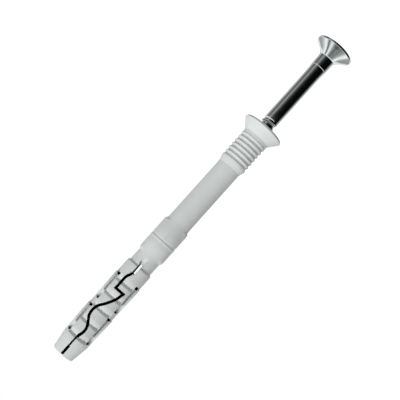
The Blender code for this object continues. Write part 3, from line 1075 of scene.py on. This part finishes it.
    def slit_routes(self) -> list[tuple[list[Point], float, float]]:
        """Each stretch of the front slit: its route as (along, across) points, its width and its floor.

        The floors lie at slightly different heights, so that the stretches unite cleanly.
        """
        mouth_length, mouth_width, mouth_offset = self.mouth
        nose_width, nose_offset = self.nose_slit
        nose_before, nose_after = self.nose_overlap
        reach = self.slit_step - self.shoulder
        swing = self.wave_high - self.wave_low
        wave = [(self.shoulder + a * reach, self.wave_low + b * swing) for a, b in self.wave_shares]
        run = self.slit_end - self.slit_step
        tail_start, tail_end = (self.slit_step + share * run for share in self.tail_shares)
        rise = self.tail_end_offset - self.tail_offset
        tail = [(self.slit_step, self.tail_offset)]
        for t in (k / self.tail_steps for k in range(self.tail_steps + 1)):
            across = self.tail_offset + rise * (1 - math.cos(math.pi * t)) / 2
            tail.append((tail_start + t * (tail_end - tail_start), across))
        half = self.slit_width / 2
        bar = [
            (self.slit_step, self.tail_offset - half),
            (self.slit_step, self.wave_high + half + self.step_over),
        ]
        nose = [(mouth_length - nose_before, nose_offset), (self.shoulder + nose_after, nose_offset)]
        return [
            ([(-self.clear, mouth_offset), (mouth_length, mouth_offset)], mouth_width, self.nose_web / 2),
            (nose, nose_width, self.slit_floor),
            (smooth_route(wave), self.slit_width, self.slit_floor * 1.1),
            (bar, self.step_width, self.slit_floor * 1.2),
            (tail, self.slit_width, self.slit_floor * 1.3),
        ]

    def slit_cutter(self, side: Side) -> bpy.types.Object:
        """The slit's stretches on one side, drawn along their routes and united.

        A thin web closes all of the back slit but its end, so that no light shows through where both cross.

        Args:
            side: The side of the plug, which says if the web stays.

        Returns:
            The cutter.
        """
        tree = sweep_tree()
        top = self.body_radius + self.slit_clear
        pieces = []
        for i, (route, width, floor) in enumerate(self.slit_routes()):
            if side is Side.BACK:
                floor = self.bore_radius + self.back_web + self.back_web_step * i
            line = bpy.data.meshes.new("slit_route")
            middle = (floor + top) / 2
            points = [(middle, across, along) for along, across in route]
            line.from_pydata(points, [(i, i + 1) for i in range(len(points) - 1)], [])
            # The slit's walls take the painted-shade material, which makes them read black.
            values = {"Width": width, "Depth": top - floor, "Finish": self.shade}
            pieces.append(new_object("slit_stretch", grown(tree, values, line)))
        pieces.append(self.slit_end_cutter(top))
        cutter, *others = pieces
        for other in others:
            combine(cutter, other, "UNION")
        cutter.data.transform(side.turn())
        return cutter

    def slit_end_cutter(self, top: float) -> bpy.types.Object:
        """The slit's end, which widens past the axis, so that light shows through both sides there."""
        start = self.slit_end - self.slit_end_length
        low, high = (self.slit_end_offset + side * self.slit_end_width / 2 for side in (-1, 1))
        outline = [
            (start, low),
            (self.slit_end, low),
            (self.slit_end, high),
            (start + self.slit_end_taper, high),
            (start, self.slit_end_corner),
        ]
        # The end's walls take the painted-shade material too.
        rings = prism_rings(outline, lambda _: self.slit_end_floor, top)
        return new_object("slit_end", closed_mesh("slit_end", rings, self.shade))

    def channels(self, name: str, cuts: Sequence[tuple[Sequence[Point], Pair]]) -> bpy.types.Object:
        """Straight channels that are cut on both the front and the back.

        Args:
            name: What the cut is called.
            cuts: Each channel's stations, as (along, floor), and where its two walls stand across.

        Returns:
            The cutter, all the channels in one.
        """
        bm = bmesh.new()
        for side in Side:
            for stations, walls in cuts:
                rings = channel_rings(stations, walls, self.body_radius + self.clear)
                mesh = closed_mesh(name, rings, self.nylon)
                mesh.transform(side.turn())
                bm.from_mesh(mesh)
        joined = bpy.data.meshes.new(name)
        bm.to_mesh(joined)
        bm.free()
        joined.materials.append(self.nylon)
        return new_object(name, joined)

    def fin_cutter(self, name: str, face: Sequence[Point], walls: Pair) -> bpy.types.Object:
        """The room over each fin, beside the blocks, on both sides of the slit.

        Args:
            name: What the cut is called.
            face: (behind the fin's start, height from the parting plane) of the floor's stations.
            walls: How far the cut's two walls lie from the slit's plane.

        Returns:
            The cutter.
        """
        cuts = []
        for start in self.fin_starts:
            stations = [(start + behind, height) for behind, height in face]
            cuts += [(stations, walls), (stations, (-walls[1], -walls[0]))]
        return self.channels(name, cuts)

    def fine_lines(self) -> bpy.types.Object:
        """The thin seam along the guide, and the sharp edges on both sides of the relief."""
        seam_half, seam_depth = self.seam_size
        over = self.relief_overlap
        seam = [
            (self.guide_start + self.guide_chamfer, self.guide_radius - seam_depth / 2),
            (self.guide_end, self.guide_radius - seam_depth),
        ]
        rim = [
            (self.slit_end - 2 * over, self.neck_radius - self.relief_depth),
            (self.slit_end + self.relief_length * self.relief_edge_share, self.neck_radius + over),
        ]
        half, line, middle = self.relief_width / 2, self.relief_edge, self.slit_end_offset
        cuts = [
            (seam, (self.seam_offset - seam_half, self.seam_offset + seam_half)),
            (rim, (middle - half - line, middle - half + OVERCUT)),
            (rim, (middle + half - OVERCUT, middle + half + line)),
        ]
        return self.channels("fine_lines", cuts)

    def relief_cutter(self, side: Side) -> bpy.types.Object:
        """The shallow ramp where the slit runs out into the neck, with a round end."""
        half = self.relief_width / 2
        start = self.slit_end - self.relief_overlap
        middle = self.slit_end + self.relief_length - half
        arc = [math.radians(a) for a in range(-90, 91, 15)]
        outline = [
            (start, self.slit_end_offset + half),
            (start, self.slit_end_offset - half),
            *((middle + half * math.cos(a), self.slit_end_offset + half * math.sin(a)) for a in arc),
        ]
        rings = prism_rings(outline, self.relief_floor, self.body_radius + self.clear)
        mesh = closed_mesh("slit_relief", rings, self.nylon)
        mesh.transform(side.turn())
        return new_object("slit_relief", mesh)

    def relief_floor(self, along: float) -> float:
        """Height of the relief's floor, which climbs to the neck's skin."""
        left = (self.slit_end + self.relief_length - along) / self.relief_length
        return self.neck_radius - self.relief_depth * left

    def notch_cutter(self, shift: float, size: Triple) -> bpy.types.Object:
        """The small deep notches at one end of each fin, on both sides of its root.

        Args:
            shift: How far the end lies behind the fin's start.
            size: Depth, width and length of a notch.

        Returns:
            The cutter, all the notches in one.
        """
        points = [
            (x_side * (self.notch_floor + size[0] / 2), y_side * self.notch_across, start + shift)
            for start in self.fin_starts
            for x_side in (-1, 1)
            for y_side in (-1, 1)
        ]
        spots = bpy.data.meshes.new("notch_spots")
        spots.from_pydata(points, [], [])
        # The notches' walls take the painted-shade material, so that they read black.
        return new_object("fin_notches", grown(notch_tree(), {"Size": size, "Finish": self.shade}, spots))

    def cutters(self) -> Iterator[bpy.types.Object]:
        """Make what is cut from the skin, one after the other."""
        wall = self.block_half_width
        yield self.fin_cutter("fin_pockets", self.fin_face, (wall, self.body_radius + self.clear))
        yield self.fin_cutter("fin_grooves", self.groove_face, (wall - OVERCUT, wall + self.groove_width))
        yield self.notch_cutter(0.0, self.notch_size)
        yield self.notch_cutter(self.fin_length, self.end_notch_size)
        for make in (self.slit_cutter, self.relief_cutter):
            for side in Side:
                yield make(side)
        yield self.fine_lines()

    def build(self, axes: AxisFrame) -> bpy.types.Object:
        """Make the sleeve.

        Args:
            axes: Where it goes.

        Returns:
            The piece, dressed and riding on its body.
        """
        piece = new_object("plug_sleeve_moulding", self.skin())
        for cutter in self.cutters():
            combine(piece, cutter)
        return settle(piece, axes, "sleeve", "plug_sleeve")


@dataclass
class ScrewNail:
    """The plated nail: threaded point, plain shank, swell, countersunk head and cross recess.

    Attributes:
        zinc: Its finish.
        thread_flank: How far off, in pitches, a turn's crest ends and the root starts.
        swell: Start, end and radius of the shank's swell.
        grip: Start and radius of the step past it.
        neck: Where the head's cone starts, and the radius there.
        hollow_shares: The hollowed cone's points, as shares of its height and of its rise.
        recess_reach: How far the cross recess reaches from the middle, at its foot and on top.
        recess_wing: Width of its wings, at its foot and on top.
    """

    zinc: bpy.types.Material
    head_top: float = 109.5 * MM
    tip_at: float = 32.0 * MM
    tip_radius: float = 0.3 * MM
    point: float = 4.6 * MM
    thread_end: float = 83.1 * MM
    thread_pitch: float = 1.65 * MM
    thread_root: float = 1.85 * MM
    thread_crest: float = 2.2 * MM
    thread_flank: Pair = (0.06, 0.36)
    thread_rows: int = 400
    run_out: float = 0.7 * MM
    facets: int = 72
    shank_radius: float = 2.14 * MM
    swell: Triple = (99.8 * MM, 102.0 * MM, 2.25 * MM)
    grip: Pair = (102.4 * MM, 2.31 * MM)
    neck: Pair = (105.9 * MM, 2.39 * MM)
    head_radius: float = 5.62 * MM
    head_rim: float = 0.6 * MM
    hollow_shares: Sequence[Point] = ((0.62, 0.25), (0.40, 0.47), (0.19, 0.73))
    recess_depth: float = 2.6 * MM
    recess_over: float = 0.5 * MM
    recess_reach: Pair = (1.05 * MM, 2.5 * MM)
    recess_wing: Pair = (0.7 * MM, 0.9 * MM)

    def outline(self) -> list[Point]:
        """The shank and the head, from the thread's end to the middle of the head's top."""
        swell_start, swell_end, swell_radius = self.swell
        grip_at, grip_radius = self.grip
        neck_at, neck_radius = self.neck
        cone_top = self.head_top - self.head_rim
        cone = cone_top - neck_at
        rise = self.head_radius - neck_radius
        hollow = [(cone_top - down * cone, neck_radius + out * rise) for down, out in self.hollow_shares]
        return filleted(
            [
                (self.thread_end, self.shank_radius, 0.0),
                (swell_start, self.shank_radius, 0.5 * MM),
                (swell_end, swell_radius, 0.2 * MM),
                (grip_at, swell_radius, 0.03 * MM),
                (grip_at + 0.12 * MM, grip_radius, 0.05 * MM),
                (neck_at, neck_radius, 0.25 * MM),
                *((*point, 0.5 * MM) for point in hollow),
                (cone_top, self.head_radius, 0.1 * MM),
                (self.head_top, self.head_radius, 0.12 * MM),
                (self.head_top, 3.0 * MM, 0.0),
            ]
        )

    def recess_cutter(self) -> bpy.types.Object:
        """The cross recess, from a small cross at its foot to a wide one on top."""
        over = self.recess_over
        turns = [Matrix.Rotation(math.pi / 4 + quarter * math.pi / 2, 2) for quarter in range(4)]
        rings = []
        for height, share in ((0.0, 0.0), (self.recess_depth + over, 1.0 + over / self.recess_depth)):
            reach, wing = (foot + (top - foot) * share for foot, top in (self.recess_reach, self.recess_wing))
            corners = ((reach, -wing / 2), (reach, wing / 2), (wing / 2, wing / 2))
            level = self.head_top - self.recess_depth + height
            rings.append([(*(turn @ Vector(corner)), level) for turn in turns for corner in corners])
        return new_object("cross_recess", closed_mesh("cross_recess", rings, self.zinc))

    def blank(self) -> bpy.types.Mesh:
        """The threaded stretch and the turned stretch, joined into one closed skin."""
        sizes = {
            "Around": self.facets + 1,
            "Rows": self.thread_rows,
            "Start": self.tip_at,
            "Length": self.thread_end - self.tip_at,
            "Pitch": self.thread_pitch,
            "Root": self.thread_root,
            "Crest": self.thread_crest,
            "Shank": self.shank_radius,
            "Tip": self.tip_radius,
            "Point": self.point,
            "Run Out": self.run_out,
            "Crest Share": self.thread_flank[0],
            "Root Share": self.thread_flank[1],
            "Finish": self.zinc,
        }
        thread = grown(thread_tree(), sizes)
        outline = self.outline()
        along = np.array([p[0] for p in outline])
        angles = np.arange(self.facets) * math.tau / self.facets
        radii = round_rings(outline, self.facets)
        turned = ringed_mesh("nail_turning", along, radii, angles, start_cap=False)
        bm = bmesh.new()
        bm.from_mesh(thread)
        bm.from_mesh(turned)
        bmesh.ops.remove_doubles(bm, verts=bm.verts, dist=WELD)
        bmesh.ops.holes_fill(bm, edges=[edge for edge in bm.edges if edge.is_boundary])
        bmesh.ops.recalc_face_normals(bm, faces=bm.faces)
        mesh = bpy.data.meshes.new("nail_blank")
        bm.to_mesh(mesh)
        bm.free()
        mesh.materials.append(self.zinc)
        return mesh

    def build(self, axes: AxisFrame) -> bpy.types.Object:
        """Make the nail.

        Args:
            axes: Where it goes.

        Returns:
            The piece, dressed and riding on its body.
        """
        piece = new_object("nail_screw_plated", self.blank())
        combine(piece, self.recess_cutter())
        return settle(piece, axes, "nail", "nail_screw")


def settle(piece: bpy.types.Object, axes: AxisFrame, body: str, node: str) -> bpy.types.Object:
    """Place a finished piece, smooth it and let it stand for its node.

    Args:
        piece: The piece, shaped along its own axis.
        axes: Where it goes.
        body: The body that it rides on.
        node: The node that it stands for.

    Returns:
        The piece.
    """
    mesh = piece.data
    mesh.transform(axes.matrix())
    mesh.shade_smooth()
    mesh.set_sharp_from_angle(angle=SHARP_ANGLE)
    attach(piece, body)
    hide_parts(node)
    mesh.calc_loop_triangles()
    log.info("%s: %d triangles, rides on %s", piece.name, len(mesh.loop_triangles), body)
    return piece


@dataclass
class Studio:
    """A pale floor, soft light and the camera at the photograph's angle.

    Metal mirrors a studio of its own. Three things stand one above the other in it: greys all round at the
    height of the eye, a white panel higher up, and other greys overhead.

    Attributes:
        fill: How bright the light from all round is on the nylon.
        key: How much the soft key light adds where it falls square.
        key_from: Where the key light comes from: the lit side, the front and above.
        key_spread: How wide the key light looks.
        target: Where the camera looks, above the middle of the floor.
        distance: From the camera to there.
        elevation: How far the camera looks down.
        lean: How steeply the fixing's axis climbs in the picture, from the tip to the head.
        lens: Focal length in millimetres on a 36 mm sensor.
        floor_size: Width of the floor.
        floor_matt: How much of the light the floor gives back.
        floor_glow: What it adds for the camera, to come out near white.
        mirror: How bright the mirrored studio is.
        panel: Grey level of the panel.
        panel_rise: How steeply metal has to look up for the panel to fade in.
        overhead_rise: How steeply it has to look up for the greys overhead to fade in.
        around: Bearing in degrees and grey level of the stops all round.
        overhead: Bearing in degrees and grey level of the stops overhead.
    """

    fill: float = 0.55
    key: float = 0.72
    key_from: Triple = (0.21, -0.60, 0.77)
    key_spread: float = math.radians(30)
    target: Triple = (0.00004, 0.0, 0.0554)
    distance: float = 0.2045
    elevation: float = math.radians(4.68)
    lean: float = math.radians(48.134)
    lens: float = 68.76
    floor_size: float = 3.0
    floor_matt: float = 0.35
    floor_glow: float = 0.78
    mirror: float = 1.3
    panel: float = 0.85
    panel_rise: Pair = (0.09, 0.16)
    overhead_rise: Pair = (0.34, 0.41)
    around: Sequence[Point] = (
        (-90, 0.75), (-70, 0.55), (-57, 0.44), (-47, 0.15), (-38, 0.08), (-30, 0.32), (-22, 0.23),
        (-14, 0.065), (-7, 0.025), (0, 0.008), (10, 0.002), (42, 0.002), (47, 0.07), (57, 0.38),
        (70, 0.63), (90, 0.75),
    )
    overhead: Sequence[Point] = (
        (-90, 0.85), (-84, 0.68), (-78, 0.46), (-70, 0.36), (-62, 0.38), (-48, 0.66), (-40, 1.0),
        (-36, 0.9), (-29, 0.08), (-25, 0.3), (-19, 1.0), (-14, 0.7), (-9, 0.28), (0, 0.14), (4, 0.16),
        (8, 0.28), (14, 0.18), (20, 0.28), (28, 0.38), (35, 0.85), (40, 1.0), (45, 0.85), (51, 0.36),
        (66, 0.3), (77, 0.33), (84, 0.52), (90, 0.85),
    )

    def camera(self) -> bpy.types.Object:
        """Stand the camera at the photograph's angle, turned so that the fixing leans as it does there."""
        data = bpy.data.cameras.new("camera")
        data.lens = self.lens
        data.sensor_width = 36.0
        data.clip_start = 0.01
        made = new_object("camera", data)
        back = Vector((0.0, -math.cos(self.elevation), math.sin(self.elevation)))
        down_axis = Vector((0.0, -math.sin(self.elevation), -math.cos(self.elevation)))
        aside = Vector((-1.0, 0.0, 0.0))
        right = down_axis * math.cos(self.lean) + aside * math.sin(self.lean)
        up = down_axis * math.sin(self.lean) - aside * math.cos(self.lean)
        turn = Matrix((right, up, back)).transposed().to_4x4()
        made.matrix_world = Matrix.Translation(Vector(self.target) + back * self.distance) @ turn
        bpy.context.scene.camera = made
        return made

    def floor(self) -> bpy.types.Object:
        """Lay the pale floor. The camera sees it near white with a faint shadow, and metal sees past it."""
        mesh = bpy.data.meshes.new("floor")
        half = self.floor_size / 2
        corners = [(-half, -half, 0.0), (half, -half, 0.0), (half, half, 0.0), (-half, half, 0.0)]
        mesh.from_pydata(corners, [], [(0, 1, 2, 3)])
        made = bpy.data.materials.new("pale_floor")
        made.use_nodes = True
        tree = made.node_tree
        tree.nodes.clear()
        matt = add_node(tree, "ShaderNodeBsdfDiffuse", {"Color": grey(self.floor_matt)})[0]
        glow = add_node(tree, "ShaderNodeEmission", {"Color": grey(1.0), "Strength": self.floor_glow})[0]
        both = add_node(tree, "ShaderNodeAddShader", {0: matt, 1: glow})[0]
        clear = add_node(tree, "ShaderNodeBsdfTransparent")[0]
        seen = by_ray(tree, "Is Glossy Ray", by_ray(tree, "Is Camera Ray", matt, both), clear)
        add_node(tree, "ShaderNodeOutputMaterial", {"Surface": seen})
        mesh.materials.append(made)
        floor = new_object("floor", mesh)
        floor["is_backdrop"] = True
        return floor

    def mirrored(self, tree: Tree) -> Socket:
        """Draw the studio that metal mirrors.

        A stop's bearing and slope are those of the surface that shows it: seen from the photograph's side,
        a mirror faces halfway between the viewer and what it mirrors.

        Args:
            tree: The world's node tree.

        Returns:
            The grey that lies in each direction.
        """
        way = add_node(tree, "ShaderNodeTexCoord")["Generated"]
        parts = add_node(tree, "ShaderNodeSeparateXYZ", {0: way})
        aside = calc(tree, "SUBTRACT", 0.0, parts["X"])
        ahead = calc(tree, "SUBTRACT", 1.0, parts["Y"])
        bearing = calc(tree, "ARCTAN2", aside, ahead)
        share = mapped(tree, bearing, (-math.pi / 2, math.pi / 2))
        low, high = (grey_strip(tree, share, stops) for stops in (self.around, self.overhead))
        flat = add_node(tree, "ShaderNodeCombineXYZ", {0: aside, 1: ahead})[0]
        slope = calc(tree, "DIVIDE", parts["Z"], length_of(tree, flat))
        panel = mixed(tree, mapped(tree, slope, self.panel_rise), low, grey(self.panel))
        return mixed(tree, mapped(tree, slope, self.overhead_rise), panel, high)

    def surroundings(self) -> None:
        """Light from all round. The camera sees white, metal its studio, and nylon gets a soft fill."""
        world = bpy.data.worlds.new("studio")
        bpy.context.scene.world = world
        world.use_nodes = True
        tree = world.node_tree
        tree.nodes.clear()
        shown = ((grey(self.fill), 1.0), (grey(1.0), 1.0), (self.mirrored(tree), self.mirror))
        soft, white, studio = (
            add_node(tree, "ShaderNodeBackground", {"Color": colour, "Strength": strength})[0]
            for colour, strength in shown
        )
        seen = by_ray(tree, "Is Glossy Ray", by_ray(tree, "Is Camera Ray", soft, white), studio)
        add_node(tree, "ShaderNodeOutputWorld", {"Surface": seen})

    def lamp(self) -> bpy.types.Object:
        """The soft key light, which metal doesn't mirror."""
        data = bpy.data.lights.new("key", "SUN")
        data.energy = self.key * math.pi
        data.angle = self.key_spread
        made = new_object("key", data)
        made.matrix_world = Vector(self.key_from).to_track_quat("Z", "Y").to_matrix().to_4x4()
        made.visible_glossy = False
        return made

    def build(self) -> None:
        """Set the whole studio up."""
        self.camera()
        self.floor()
        self.surroundings()
        self.lamp()
        bpy.context.scene.view_settings.view_transform = "Standard"
        log.info("studio: camera, floor, surroundings and key light")


def write_sizes() -> None:
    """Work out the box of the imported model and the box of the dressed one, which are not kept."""
    boxes = {"cad": CAD_BOX, "visual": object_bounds()}
    {name: [list(corner) for corner in box] for name, box in boxes.items()}


def main() -> None:
    """Build the fixing and its studio."""
    logging.basicConfig(level=logging.INFO, format="%(name)s: %(message)s")
    axes = AxisFrame.from_record(frame["record"])
    PlugSleeve(nylon=MouldedNylon().material(), shade=PaintedShadeNylon().material()).build(axes)
    ScrewNail(zinc=BrightZinc().material()).build(axes)
    Studio().build()
    write_sizes()


if __name__ == "__main__":
    main()
